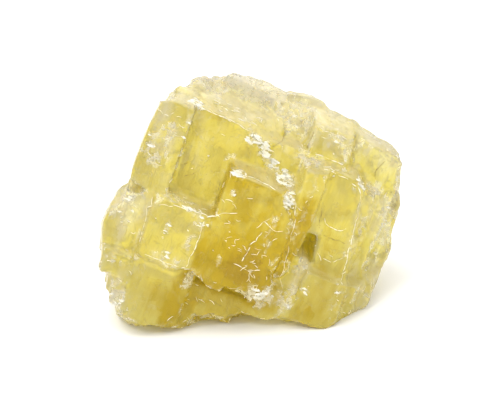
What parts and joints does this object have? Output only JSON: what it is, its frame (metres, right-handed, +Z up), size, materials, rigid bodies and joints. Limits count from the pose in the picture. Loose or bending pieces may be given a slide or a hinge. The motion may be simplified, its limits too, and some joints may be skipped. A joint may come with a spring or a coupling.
{
  "type": "calcite crystal lump",
  "caption": "Clear honey-yellow calcite lump, broken along its cleavage into stepped rhombic blocks, resting on a flat base.",
  "frame": {"origin": "middle of the bounding box on the flat resting face", "axes": "+Z up, -Y towards the front with the large stepped cleavage faces, +X along the longest extent"},
  "size_m": [0.0606, 0.046, 0.0468],
  "materials": {
    "calcite": "clear to milky honey-yellow crystal, smooth on cleavage faces and rough where it broke"
  },
  "bodies": {
    "root": {"calcite": "calcite"}
  },
  "joints": []
}
